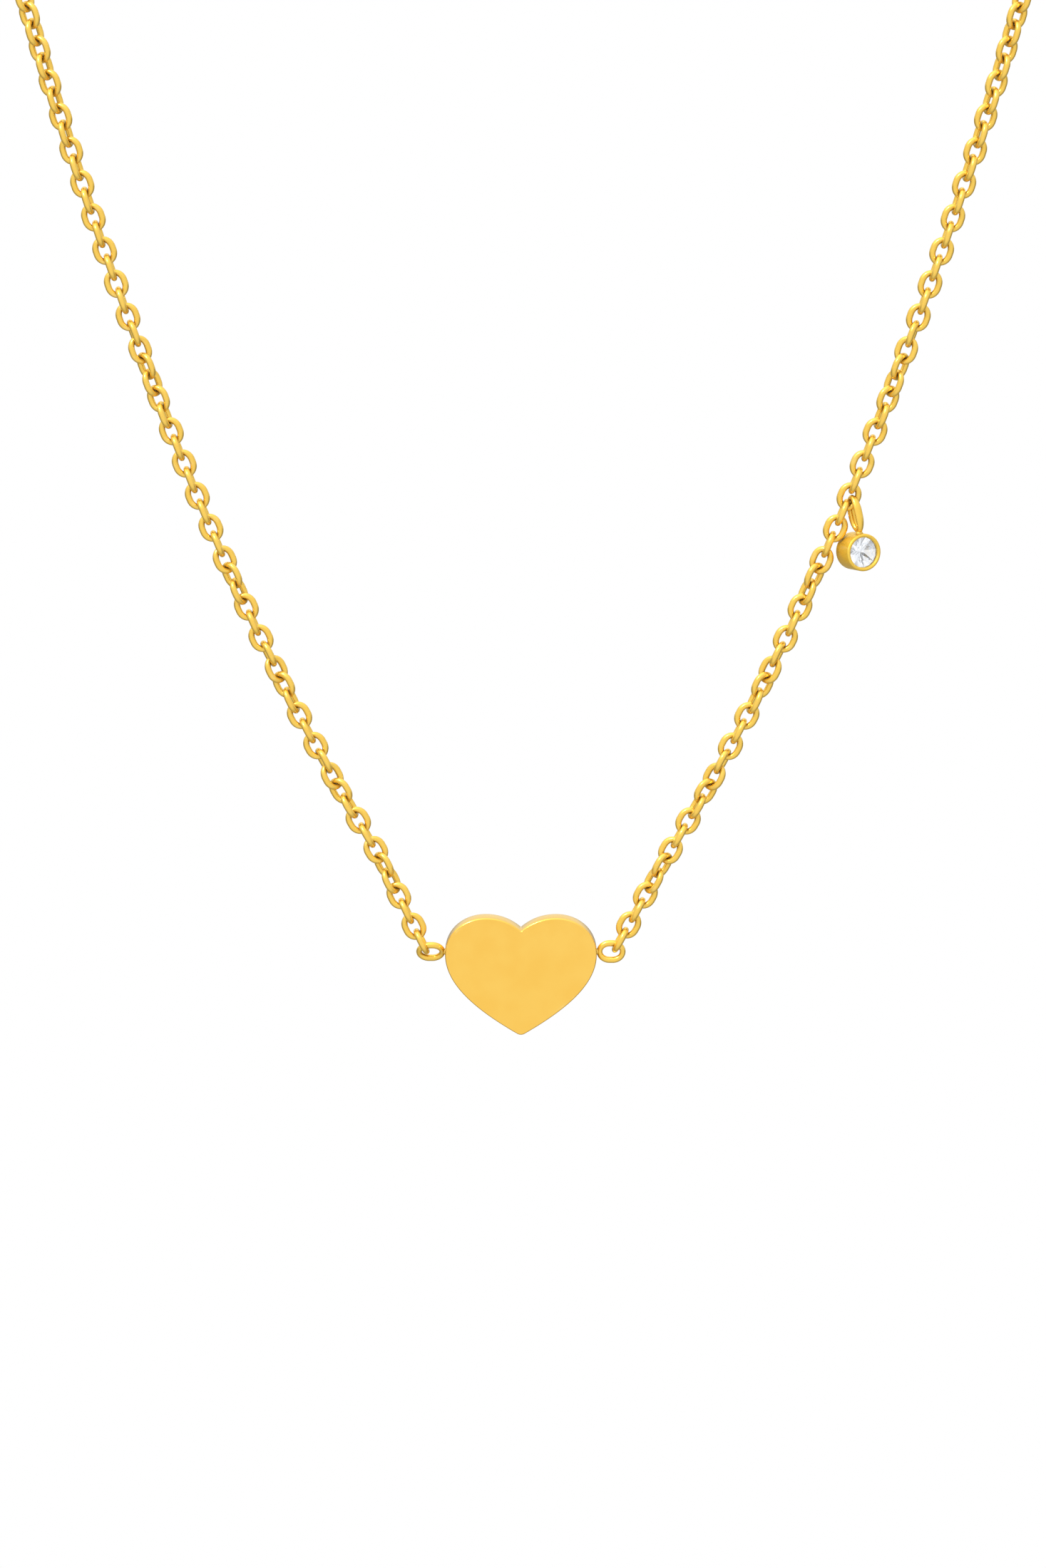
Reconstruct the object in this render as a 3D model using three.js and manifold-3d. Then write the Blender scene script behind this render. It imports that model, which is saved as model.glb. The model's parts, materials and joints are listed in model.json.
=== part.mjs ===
// A pendant necklace: a flat heart plate on a cable chain, with a bezel-set crystal charm on one
// arm and a spring-ring clasp. Millimetres, +X to the wearer's left, +Y to the back, +Z up.
// The origin is the middle of the heart's flat back, level with its two side rings.
// The clasp is open, so the chain hangs from the two ends of its arms.
import * as THREE from 'three';
import { mergeVertices } from 'three/addons/utils/BufferGeometryUtils.js';
import Module from 'manifold-3d';

const wasm = await Module();
wasm.setup();

// Chain: equal oval links of round wire. A link's wire is drawn as a square bar on edge of
// nearly the same section, whose ridges just bite into each other where two links bear.
const WIRE = 0.5;
const LINK_LENGTH = 2.486;
const LINK_WIDTH = 1.95;
const WIRE_RIDGE = 0.27;
const LINK_PITCH = LINK_LENGTH - 2 * WIRE;

// Links between two pivots, counted from the heart. The charm hangs from the eighth run.
const RUN_LENGTHS = [1, 5, 5, 5, 5, 5, 3, 1, ...Array(9).fill(5), ...Array(7).fill(7)];
const CHARM_RUN = 8;

// Curve of a hanging chain: the cotangent of its lean from the vertical grows evenly along it.
const LEAN_COTANGENT_AT_HEART = 1.407;
const LEAN_COTANGENT_PER_LINK = 0.0356;

// The first two runs lean on their own, and each first link bears on its ring at an angle.
// The play keeps a link clear of its ring when it swings; the left ring is tilted, so needs more.
const ARMS = [
  { name: 'left', side: -1, firstLeans: [26.6, 25.6], bearing: 0, play: 0.16 },
  { name: 'right', side: 1, firstLeans: [29.1, 28.6], bearing: 80, play: 0.06 },
];

// Links are set at right angles to each other, and the chain is twisted a quarter turn
// around each of these links, spread over a number of links.
const QUARTER_TURNS = [
  { middle: 5.7, spread: 4.4 },
  { middle: 11.6, spread: 4.4 },
  { middle: 18.5, spread: 4.4 },
  { middle: 24.9, spread: 4.4 },
  { middle: 37.4, spread: 7 },
  { middle: 62, spread: 34 },
];

// Heart plate. Half its outline runs from the cleft over a lobe and round the side to the
// blunt tip, as curves of two handles and an end.
const HEART_THICKNESS = 2;
const HEART_CLEFT = [0, 1.98];
const HEART_CURVES = [
  [0.9, 2.75, 1.9, 3.1, 3.03, 3.1],
  [4.95, 3.1, 6.5, 1.75, 6.5, -0.1],
  [6.5, -2.5, 4.3, -4.7, 0.3, -7.05],
];
const HEART_TIP_DROP = 0.15;
const CHAIN_PLANE = -HEART_THICKNESS / 2;
const RING_CENTRE = 7.74;
const LEFT_RING_TILT = 30;

// Charm: a cylindrical cup round a brilliant-cut crystal, on an oval bail.
const CUP_RADIUS = 1.6;
const CUP_DEPTH = 2.3;
const CUP_BORE = 1.35;
const CUP_FLOOR = 0.2;
const CUP_FLOOR_RADIUS = 0.5;
const CUP_BACK_CHAMFER = 0.15;
const CUP_RIM_CHAMFER = 0.1;
const CRYSTAL_RADIUS = 1.3;
const CRYSTAL_SETBACK = 0.05;
const TABLE_RADIUS = 0.74;
const CROWN_HEIGHT = 0.36;
const GIRDLE_HEIGHT = 0.08;
const PAVILION_DEPTH = 1.05;
const BAIL_WIRE = 0.48;
const BAIL_WIDTH = 2.1;
const BAIL_LENGTH = 3.35;
const BAIL_OFFSET = 0.25;
const BAIL_GAP = 0.01;
const BAIL_TILT = 12;
const CHARM_YAW = 26;
const CHARM_LEAN = 7;

// Spring-ring clasp: a hollow ring with a mouth, closed by a bolt that slides round inside it.
const CLASP_RADIUS = 2.3;
const TUBE_RADIUS = 0.62;
const TUBE_BORE = 0.44;
const BOLT_RADIUS = 0.34;
const MOUTH_START = -10;
const MOUTH_END = 40;
const BOLT_START = -16;
const BOLT_END = 82;
const KNOB_ANGLE = 70;
const KNOB_RADIUS = 0.15;
const KNOB_ROOT = 0.1;
const KNOB_STAND = 0.4;
const BOLT_TRAVEL = 58;
const SLOT_MARGIN = 6;
const SLOT_WIDTH = 0.42;
const SPRING_START = 146;
const SPRING_END = 200;
const SPRING_COIL_RADIUS = 0.28;
const SPRING_WIRE = 0.12;
const SPRING_TURNS = 7;
const EYE_RADIUS = 0.8;
const EYE_WIRE = 0.5;
const JUMP_RING_RADIUS = 1.3;
const JUMP_RING_WIRE = 0.6;
const END_RING_RADIUS = 1.6;
const END_RING_WIRE = 0.7;

const goldTone = () => new THREE.MeshStandardMaterial({ color: 0xf2bf52, roughness: 0.18, metalness: 1 });
const clearStone = () => new THREE.MeshStandardMaterial({ color: 0xf4f8fb, roughness: 0.03, metalness: 0 });
const springSteel = () => new THREE.MeshStandardMaterial({ color: 0xb9bcc0, roughness: 0.3, metalness: 1 });

const radians = THREE.MathUtils.degToRad;
const necklace = new THREE.Group();

// A closed geometry as a solid that can be joined and cut.
function solidOf(geometry) {
  const bare = geometry.clone();
  bare.deleteAttribute('normal');
  bare.deleteAttribute('uv');
  const merged = mergeVertices(bare);
  return new wasm.Manifold(new wasm.Mesh({
    numProp: 3,
    vertProperties: new Float32Array(merged.attributes.position.array),
    triVerts: new Uint32Array(merged.index.array),
  }));
}

function geometryOf(solid) {
  const mesh = solid.getMesh();
  const geometry = new THREE.BufferGeometry();
  geometry.setAttribute('position', new THREE.BufferAttribute(mesh.vertProperties, 3));
  geometry.setIndex(new THREE.BufferAttribute(mesh.triVerts, 1));
  geometry.computeVertexNormals();
  return geometry;
}

function addPiece(name, geometry, material, parent = necklace) {
  const mesh = new THREE.Mesh(geometry, material);
  mesh.name = name;
  parent.add(mesh);
  return mesh;
}

// An oval ring along X in the XY plane: a torus whose two halves are drawn apart.
function ovalRing(length, width, wire, ridge, segments, sides) {
  const bowRadius = (width - wire) / 2;
  const halfStraight = (length - width) / 2;
  const ring = new THREE.TorusGeometry(bowRadius, ridge, sides, segments);
  const points = ring.attributes.position;
  for (let i = 0; i < points.count; i += 1) {
    points.setX(i, points.getX(i) + Math.sign(points.getX(i)) * halfStraight);
  }
  return ring;
}

const chainLink = () => ovalRing(LINK_LENGTH, LINK_WIDTH, WIRE, WIRE_RIDGE, 6, 4);

// Quarter turns that the chain has made by a link, and the roll of that link about the chain:
// 0 shows its face to the front, 90 shows its edge.
function linkRoll(link) {
  const twist = QUARTER_TURNS.reduce((turns, { middle, spread }) => (
    turns + THREE.MathUtils.clamp((link - middle) / spread + 0.5, 0, 1)
  ), 0);
  return radians(90 * (link + twist));
}

// The chain's direction at a lean from the vertical, on one side.
function chainDirection(side, lean) {
  return new THREE.Vector3(side * Math.sin(lean), 0, Math.cos(lean));
}

// Places a piece at a pivot: its X runs along the chain and its Y along the bar it turns on.
function placeOnPivot(object, side, pivot, lean, roll) {
  const along = chainDirection(side, lean);
  const across = new THREE.Vector3(side * Math.cos(lean), 0, -Math.sin(lean));
  const bar = across.multiplyScalar(Math.cos(roll));
  bar.y = Math.sin(roll);
  const third = new THREE.Vector3().crossVectors(along, bar);
  object.position.copy(pivot);
  object.quaternion.setFromRotationMatrix(new THREE.Matrix4().makeBasis(along, bar, third));
}

// A run of links, from the bar it hangs on at the origin, along X. The bar's roll is barRoll.
function runGeometry(side, firstLink, links, barRoll) {
  let run;
  for (let i = 0; i < links; i += 1) {
    const link = chainLink();
    link.rotateX(side * (linkRoll(firstLink + i) - barRoll));
    link.translate(LINK_LENGTH / 2 - 1.5 * WIRE + i * LINK_PITCH, 0, 0);
    run = run ? run.add(solidOf(link)) : solidOf(link);
  }
  return geometryOf(run);
}

// One arm of the chain. Returns the pivot at its far end, with the last lean and link number.
function addArm({ name, side, firstLeans, bearing, play }) {
  const reach = (LINK_WIDTH - WIRE) / 2 - WIRE - play;
  const bowCentre = RING_CENTRE + (LINK_LENGTH - LINK_WIDTH) / 2;
  const firstDirection = chainDirection(side, radians(firstLeans[0]));
  const pivot = new THREE.Vector3(side * bowCentre, CHAIN_PLANE, 0);
  pivot.x += side * reach * Math.cos(radians(bearing));
  pivot.z += reach * Math.sin(radians(bearing));
  pivot.addScaledVector(firstDirection, WIRE);
  let lastLink = 0;
  let lean = 0;
  RUN_LENGTHS.forEach((links, index) => {
    const middleLink = lastLink + (links + 1) / 2;
    const cotangent = LEAN_COTANGENT_AT_HEART + LEAN_COTANGENT_PER_LINK * middleLink;
    lean = index < firstLeans.length ? radians(firstLeans[index]) : Math.atan(1 / cotangent);
    const barRoll = linkRoll(lastLink);
    const run = addPiece(
      `${name}_chain_${String(index + 1).padStart(2, '0')}`,
      runGeometry(side, lastLink + 1, links, barRoll),
      goldTone(),
    );
    placeOnPivot(run, side, pivot, lean, barRoll);
    if (side > 0 && index + 1 === CHARM_RUN) {
      addCharm(pivot, side, lean);
    }
    pivot.addScaledVector(chainDirection(side, lean), links * LINK_PITCH);
    lastLink += links;
  });
  return { pivot, side, lean, lastLink };
}

function addHeart() {
  const outline = new THREE.Shape();
  outline.moveTo(...HEART_CLEFT);
  HEART_CURVES.forEach((curve) => outline.bezierCurveTo(...curve));
  const [tipX, tipY] = HEART_CURVES.at(-1).slice(-2);
  outline.quadraticCurveTo(0, tipY - HEART_TIP_DROP, -tipX, tipY);
  const starts = [HEART_CLEFT, ...HEART_CURVES.map((curve) => curve.slice(-2))];
  for (let i = HEART_CURVES.length - 1; i >= 0; i -= 1) {
    const [firstX, firstY, secondX, secondY] = HEART_CURVES[i];
    const [endX, endY] = starts[i];
    outline.bezierCurveTo(-secondX, secondY, -firstX, firstY, -endX, endY);
  }
  const plate = new THREE.ExtrudeGeometry(outline, {
    depth: HEART_THICKNESS, bevelEnabled: false, curveSegments: 8,
  });
  plate.rotateX(Math.PI / 2);
  addPiece('heart_plate', plate, goldTone());
}

// The ring soldered to each side of the heart is one of the chain's links.
function addHeartRings() {
  const leftRing = addPiece('left_heart_ring', chainLink(), goldTone());
  leftRing.position.set(-RING_CENTRE, CHAIN_PLANE, 0);
  leftRing.rotation.x = radians(90 + LEFT_RING_TILT);
  const rightRing = addPiece('right_heart_ring', chainLink(), goldTone());
  rightRing.position.set(RING_CENTRE, CHAIN_PLANE, 0);
  rightRing.rotation.x = radians(90);
}

// A solid turned from [radius, height] pairs, with its height growing towards -Y.
function turned(profile) {
  const points = profile.map(([radius, height]) => new THREE.Vector2(radius, height));
  return new THREE.LatheGeometry(points, 16).rotateX(Math.PI);
}

// The charm hangs from the bail's top bow, which passes through the open middle of a link and
// rests on the link's outer bar. In its own frame the charm hangs down -Z and faces -Y.
function addCharm(runPivot, side, lean) {
  const charm = new THREE.Group();
  charm.rotation.set(0, radians(-CHARM_LEAN), radians(CHARM_YAW), 'YXZ');
  charm.position.copy(runPivot);
  charm.position.addScaledVector(chainDirection(side, lean), LINK_LENGTH / 2 - 1.5 * WIRE);
  charm.position.x += side * BAIL_OFFSET * Math.cos(lean);
  charm.position.z -= BAIL_OFFSET * Math.sin(lean);
  necklace.add(charm);

  const bail = ovalRing(BAIL_LENGTH, BAIL_WIDTH, BAIL_WIRE, BAIL_WIRE / 2, 10, 6);
  bail.rotateZ(Math.PI / 2);
  bail.rotateX(Math.PI / 2);
  bail.rotateZ(Math.PI / 2);
  bail.translate(0, 0, (BAIL_WIRE - BAIL_LENGTH) / 2);
  bail.rotateX(-radians(BAIL_TILT));
  addPiece('bezel_bail', bail, goldTone(), charm);

  const bailBow = (BAIL_WIDTH - BAIL_WIRE) / 2;
  const bailDrop = (BAIL_LENGTH - BAIL_WIRE - bailBow) * Math.cos(radians(BAIL_TILT)) + bailBow;
  const cupHeight = -bailDrop - BAIL_WIRE / 2 - BAIL_GAP - CUP_RADIUS;
  const girdle = CUP_DEPTH - CRYSTAL_SETBACK - CROWN_HEIGHT;
  const cup = turned([
    [0, 0],
    [CUP_RADIUS - CUP_BACK_CHAMFER, 0],
    [CUP_RADIUS, CUP_BACK_CHAMFER],
    [CUP_RADIUS, CUP_DEPTH - CUP_RIM_CHAMFER],
    [CUP_RADIUS - CUP_RIM_CHAMFER, CUP_DEPTH],
    [CUP_BORE, CUP_DEPTH],
    [CUP_BORE, girdle - GIRDLE_HEIGHT],
    [CUP_FLOOR_RADIUS, CUP_FLOOR],
    [0, CUP_FLOOR],
  ]);
  cup.translate(0, CUP_DEPTH / 2, cupHeight);
  addPiece('bezel_cup', cup, goldTone(), charm);

  const crystal = turned([
    [0, -PAVILION_DEPTH],
    [CRYSTAL_RADIUS, -GIRDLE_HEIGHT / 2],
    [CRYSTAL_RADIUS, GIRDLE_HEIGHT / 2],
    [TABLE_RADIUS, CROWN_HEIGHT],
    [0, CROWN_HEIGHT],
  ]);
  crystal.translate(0, CUP_DEPTH / 2 - girdle, cupHeight);
  addPiece('crystal', crystal, clearStone(), charm);
}

// A circular path round the origin in the XY plane, with an optional coil wound about it.
class ArcPath extends THREE.Curve {
  constructor(radius, start, end, coilRadius = 0, turns = 0) {
    super();
    Object.assign(this, { radius, start, end, coilRadius, turns });
  }

  getPoint(t, target = new THREE.Vector3()) {
    const angle = radians(THREE.MathUtils.lerp(this.start, this.end, t));
    const coil = 2 * Math.PI * this.turns * t;
    const reach = this.radius + this.coilRadius * Math.cos(coil);
    return target.set(
      reach * Math.cos(angle),
      reach * Math.sin(angle),
      this.coilRadius * Math.sin(coil),
    );
  }
}

function polygon(shape, radius, sides) {
  const points = Array.from({ length: sides }, (_, i) => {
    const angle = (2 * Math.PI * (i + 0.5)) / sides;
    return new THREE.Vector2(radius * Math.cos(angle), radius * Math.sin(angle));
  });
  return shape.setFromPoints(points);
}

// A bar of round section swept along a path, hollow when it has a bore.
function sweptBar(path, radius, sides, steps, bore = 0) {
  const section = polygon(new THREE.Shape(), radius, sides);
  if (bore > 0) {
    section.holes.push(polygon(new THREE.Path(), bore, sides));
  }
  return new THREE.ExtrudeGeometry(section, { steps, extrudePath: path, bevelEnabled: false });
}

// The slot in the tube's outer wall that the bolt's knob travels along.
function knobSlot() {
  const from = radians(KNOB_ANGLE - SLOT_MARGIN);
  const to = radians(KNOB_ANGLE + BOLT_TRAVEL + SLOT_MARGIN);
  const wedge = new THREE.Shape();
  wedge.absarc(0, 0, CLASP_RADIUS + TUBE_RADIUS + KNOB_STAND, from, to, false);
  wedge.absarc(0, 0, CLASP_RADIUS + TUBE_BORE / 2, to, from, true);
  const slot = new THREE.ExtrudeGeometry(wedge, {
    depth: SLOT_WIDTH, bevelEnabled: false, curveSegments: 6,
  });
  slot.translate(0, 0, -SLOT_WIDTH / 2);
  return slot;
}

function boltGeometry() {
  const bar = sweptBar(new ArcPath(CLASP_RADIUS, BOLT_START, BOLT_END), BOLT_RADIUS, 6, 8);
  const knobFoot = CLASP_RADIUS + KNOB_ROOT;
  const knobHead = CLASP_RADIUS + TUBE_RADIUS + KNOB_STAND;
  const knob = new THREE.CylinderGeometry(KNOB_RADIUS, KNOB_RADIUS, knobHead - knobFoot, 6);
  knob.rotateZ(-Math.PI / 2);
  knob.translate((knobFoot + knobHead) / 2, 0, 0);
  knob.rotateZ(radians(KNOB_ANGLE));
  return geometryOf(solidOf(bar).add(solidOf(knob)));
}

// The clasp on its jump ring, at the end of the left arm.
function addClasp({ pivot, side, lean, lastLink }) {
  const jumpRing = addPiece(
    'clasp_jump_ring',
    new THREE.TorusGeometry(JUMP_RING_RADIUS, JUMP_RING_WIRE / 2, 6, 10),
    goldTone(),
  );
  jumpRing.geometry.translate(JUMP_RING_RADIUS - (JUMP_RING_WIRE + WIRE) / 2, 0, 0);
  jumpRing.geometry.rotateX(Math.PI / 2);
  placeOnPivot(jumpRing, side, pivot, lean, linkRoll(lastLink));

  const jumpReach = 2 * JUMP_RING_RADIUS - (JUMP_RING_WIRE + WIRE) / 2;
  const claspPivot = pivot.clone().addScaledVector(chainDirection(side, lean), jumpReach);
  const clasp = new THREE.Group();
  placeOnPivot(clasp, side, claspPivot, lean, linkRoll(lastLink + 1));
  necklace.add(clasp);

  const eyeCentre = EYE_RADIUS - (JUMP_RING_WIRE + EYE_WIRE) / 2;
  const eye = new THREE.TorusGeometry(EYE_RADIUS, EYE_WIRE / 2, 6, 10);
  eye.rotateX(Math.PI / 2);
  const eyePiece = addPiece('clasp_eye', eye, goldTone(), clasp);
  eyePiece.position.x = eyeCentre;

  const ring = new THREE.Group();
  ring.rotation.x = Math.PI / 2;
  ring.position.x = eyeCentre + EYE_RADIUS + EYE_WIRE / 2 + CLASP_RADIUS + TUBE_RADIUS;
  clasp.add(ring);
  const tubePath = new ArcPath(CLASP_RADIUS, MOUTH_END, MOUTH_START + 360);
  const tube = sweptBar(tubePath, TUBE_RADIUS, 8, 20, TUBE_BORE);
  const slotted = solidOf(tube).subtract(solidOf(knobSlot()));
  addPiece('clasp_body', geometryOf(slotted), goldTone(), ring);
  addPiece('clasp_bolt', boltGeometry(), goldTone(), ring);
  const coil = new ArcPath(CLASP_RADIUS, SPRING_START, SPRING_END, SPRING_COIL_RADIUS, SPRING_TURNS);
  const spring = sweptBar(coil, SPRING_WIRE / 2, 4, SPRING_TURNS * 7);
  addPiece('clasp_spring', spring, springSteel(), ring);
}

// The plain ring that the clasp closes on, at the end of the right arm.
function addEndRing({ pivot, side, lean, lastLink }) {
  const ring = new THREE.TorusGeometry(END_RING_RADIUS, END_RING_WIRE / 2, 6, 12);
  ring.translate(END_RING_RADIUS - (END_RING_WIRE + WIRE) / 2, 0, 0);
  ring.rotateX(Math.PI / 2);
  placeOnPivot(addPiece('end_ring', ring, goldTone()), side, pivot, lean, linkRoll(lastLink));
}

addHeart();
addHeartRings();
const [leftEnd, rightEnd] = ARMS.map(addArm);
addClasp(leftEnd);
addEndRing(rightEnd);

export default necklace;
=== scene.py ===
"""Looks of a pendant necklace: a flat heart plate on a gold-tone cable chain, with a bezel-set
crystal charm on one arm and a spring-ring clasp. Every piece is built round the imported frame:
its place comes from the frame's joints and node boxes, its fine shape from the sizes below.
Lengths are in metres; MM turns a size in millimetres into metres."""

import json
import math

import bmesh
import bpy
from mathutils import Matrix, Vector


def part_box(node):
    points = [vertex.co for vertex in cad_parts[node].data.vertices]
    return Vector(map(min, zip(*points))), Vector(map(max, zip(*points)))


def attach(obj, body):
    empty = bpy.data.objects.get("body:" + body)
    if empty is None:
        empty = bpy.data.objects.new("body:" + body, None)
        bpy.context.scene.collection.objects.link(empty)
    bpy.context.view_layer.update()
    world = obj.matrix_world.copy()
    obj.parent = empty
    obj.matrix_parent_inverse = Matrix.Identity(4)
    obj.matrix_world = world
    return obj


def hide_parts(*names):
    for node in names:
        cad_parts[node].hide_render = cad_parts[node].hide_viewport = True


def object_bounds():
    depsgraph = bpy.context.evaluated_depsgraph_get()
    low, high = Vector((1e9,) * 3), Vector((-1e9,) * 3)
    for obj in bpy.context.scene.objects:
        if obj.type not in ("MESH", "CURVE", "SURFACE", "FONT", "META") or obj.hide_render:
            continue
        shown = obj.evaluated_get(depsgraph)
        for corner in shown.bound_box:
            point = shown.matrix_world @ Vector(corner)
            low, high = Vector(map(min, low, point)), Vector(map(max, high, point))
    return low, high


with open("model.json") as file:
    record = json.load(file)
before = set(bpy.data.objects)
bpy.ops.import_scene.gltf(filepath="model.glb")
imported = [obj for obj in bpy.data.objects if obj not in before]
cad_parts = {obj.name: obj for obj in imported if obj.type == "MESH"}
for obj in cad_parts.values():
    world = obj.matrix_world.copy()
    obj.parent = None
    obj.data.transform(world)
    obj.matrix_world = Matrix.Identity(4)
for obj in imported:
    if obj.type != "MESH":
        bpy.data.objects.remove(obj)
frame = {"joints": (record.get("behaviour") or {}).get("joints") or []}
CAD_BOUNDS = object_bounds()

MM = 0.001
JOINTS = {joint["name"]: joint for joint in frame["joints"]}

# Chain link: its centre line is an oval between a racetrack (ovality 0) and an ellipse (1).
WIRE = 0.5 * MM
LINK_LENGTH = 2.486 * MM
LINK_WIDTH = 1.95 * MM
LINK_PITCH = LINK_LENGTH - 2 * WIRE
LINK_OVALITY = 0.5
LINK_BELLY = 0.13
LINK_STEPS = 40
LINK_SIDES = 14

# The wire of links and loops is this share of its size at the bows, where neighbours bear on
# each other, so that they overlap less.
BOW_SHARE = 0.985

# Sides of the wire of the single rings and loops.
LOOP_SIDES = 16

# Links stand at right angles to each other, and the chain is twisted a quarter turn around
# each of these links, spread over a number of links, as in the frame.
QUARTER_TURNS = ((5.7, 4.4), (11.6, 4.4), (18.5, 4.4), (24.9, 4.4), (37.4, 7), (62, 34))
LEFT_RING_TILT = math.radians(30)


# ---------------------------------------------------------------- mesh helpers

def piece(name, body, slot, material, *nodes):
    """An empty mesh piece with its material, its body and the CAD nodes that it stands for."""
    mesh = bpy.data.meshes.new(name)
    obj = bpy.data.objects.new(name, mesh)
    bpy.context.scene.collection.objects.link(obj)
    mesh.materials.append(material)
    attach(obj, body)
    if nodes:
        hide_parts(*nodes)
    return obj


def fill(obj, parts, smooth=True):
    """Puts vertices and faces into a piece. parts holds (points, faces, matrix) triples."""
    points = []
    faces = []
    for part_points, part_faces, matrix in parts:
        base = len(points)
        points.extend(matrix @ Vector(p) for p in part_points)
        faces.extend([base + i for i in face] for face in part_faces)
    obj.data.from_pydata([tuple(p) for p in points], [], faces)
    obj.data.validate()
    cleanup = bmesh.new()
    cleanup.from_mesh(obj.data)
    bmesh.ops.recalc_face_normals(cleanup, faces=cleanup.faces)
    cleanup.to_mesh(obj.data)
    cleanup.free()
    if smooth:
        obj.data.shade_smooth()
    else:
        obj.data.shade_flat()
    return obj


def grid_faces(rows, columns, closed_rows, closed_columns):
    """Quads of a grid of points stored row by row."""
    faces = []
    for i in range(rows if closed_rows else rows - 1):
        for j in range(columns if closed_columns else columns - 1):
            k = (i + 1) % rows
            m = (j + 1) % columns
            faces.append((i * columns + j, i * columns + m, k * columns + m, k * columns + j))
    return faces


def sweep(centres, outs, ups, radii, sides, closed):
    """A round bar along centre points. outs and ups are the two directions across it."""
    points = []
    for centre, out, up, radius in zip(centres, outs, ups, radii):
        for j in range(sides):
            angle = 2 * math.pi * j / sides
            points.append(centre + radius * (math.cos(angle) * out + math.sin(angle) * up))
    faces = grid_faces(len(centres), sides, closed, True)
    if not closed:
        faces.append(tuple(reversed(range(sides))))
        faces.append(tuple(len(points) - sides + j for j in range(sides)))
    return points, faces


def oval(length, width, wire, ovality, steps, sides, belly=0.0, flare=0.0):
    """An oval ring of round wire along X in the XY plane. The wire is a hair thin at the two
    bows; belly thickens the middle of both sides all round, flare only across the ring."""
    reach = (length - wire) / 2
    half_width = (width - wire) / 2
    straight = (1 - ovality) * (reach - half_width)
    bow = reach - straight
    centres, outs, ups, radii = [], [], [], []
    for i in range(steps):
        angle = 2 * math.pi * (i + 0.5) / steps
        c, s = math.cos(angle), math.sin(angle)
        centres.append(Vector((math.copysign(straight, c) + bow * c, half_width * s, 0)))
        outs.append(Vector((half_width * c, bow * s, 0)).normalized())
        ups.append(Vector((0, 0, 1 + flare * s * s)))
        radii.append(wire / 2 * (BOW_SHARE + belly * s * s))
    return sweep(centres, outs, ups, radii, sides, True)


def arc_bar(radius, start, end, bar, steps, sides, nose=False):
    """A round bar on a circle round Z, from start to end in radians, with rounded ends if
    nose is set."""
    centres, outs, radii = [], [], []
    stations = [(i / steps, 1.0) for i in range(steps + 1)]
    if nose:
        cap = bar / (radius * abs(end - start))
        first = [
            (cap * (1 - math.sin(math.radians(a))), math.cos(math.radians(a)))
            for a in (80, 65, 45, 25, 5)
        ]
        middle = [(t, 1.0) for t, _ in stations if cap < t < 1 - cap]
        stations = first + middle + [(1 - t, r) for t, r in reversed(first)]
    for t, share in stations:
        angle = start + (end - start) * t
        out = Vector((math.cos(angle), math.sin(angle), 0))
        centres.append(radius * out)
        outs.append(out)
        radii.append(bar * share)
    ups = [Vector((0, 0, 1))] * len(centres)
    return sweep(centres, outs, ups, radii, sides, False)


def round_ring(radius, bar, steps, sides):
    """A closed ring of round wire round Z."""
    outs = [
        Vector((math.cos(2 * math.pi * i / steps), math.sin(2 * math.pi * i / steps), 0))
        for i in range(steps)
    ]
    ups = [Vector((0, 0, 1))] * steps
    return sweep([radius * out for out in outs], outs, ups, [bar] * steps, sides, True)


def lathe(profile, steps):
    """A solid turned round Y from (radius, y) pairs that start and end on the axis."""
    rings = profile[1:-1]
    points = []
    for radius, y in rings:
        for j in range(steps):
            angle = 2 * math.pi * j / steps
            points.append(Vector((radius * math.cos(angle), y, radius * math.sin(angle))))
    faces = grid_faces(len(rings), steps, False, True)
    for end, ring in ((profile[0], 0), (profile[-1], len(rings) - 1)):
        points.append(Vector((0, end[1], 0)))
        tip = len(points) - 1
        faces.extend(
            (tip, ring * steps + j, ring * steps + (j + 1) % steps) for j in range(steps)
        )
    return points, faces


def axes_at(origin, x, y, z):
    """The matrix of a local frame with these axes."""
    rotation = Matrix((x, y, z)).transposed().to_4x4()
    return Matrix.Translation(origin) @ rotation


def joint_place(name):
    """A joint's pivot and the direction of its axis."""
    joint = JOINTS[name]
    return Vector(joint["pos_m"]), Vector(joint["axis"]).normalized()


def box_centre(node):
    """The middle of a CAD node's box at rest."""
    low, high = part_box(node)
    return (low + high) / 2


# ---------------------------------------------------------------- materials

# Gold plating: the heart, the wire and the turned and cast pieces each have their own colour. The
# bezel gold is darker in part as painted shade, for the shade on the cup's rounded rim.
GOLD = (0.973, 0.604, 0.108)
WIRE_GOLD = (0.92, 0.6, 0.09)
# BEZEL_GOLD is darker in part as painted shade.
BEZEL_GOLD = (0.85, 0.57, 0.07)
GOLD_WORN = (0.99, 0.72, 0.26)
EDGE_TINT = (1.0, 0.93, 0.6)
PLATING_GLOSS = 0.15
LACQUER = 0.4
LACQUER_ROUGHNESS = 0.12

# Slow drift in colour: its size, the span of the noise it uses, and its deepest shade.
DRIFT_PER_METRE = 420
DRIFT_SPAN = (0.35, 0.65)
DEEP_SHARE = (0.985, 0.95, 0.85)

# Rubbed edges: the span of pointiness they show at, and how far they turn to the worn colour.
EDGE_SPAN = (0.52, 0.6)
EDGE_WEAR = 0.35

# Painted shade in corners, standing in for the shade that falls between parts: how near a
# neighbour counts, the span of open view, and how dark the painted shade gets.
CREVICE_REACH = 0.35 * MM
CREVICE_SPAN = (0.2, 0.85)
CREVICE_DEPTH = 0.75
CREVICE_SHADE = 0.4

# Polishing marks.
MARKS_SPAN = (0.3, 0.7)
SCRATCH_STRENGTH = 0.35

# Clasp spring.
STEEL = (0.62, 0.62, 0.64)
STEEL_WORN = (0.8, 0.8, 0.8)
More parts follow.
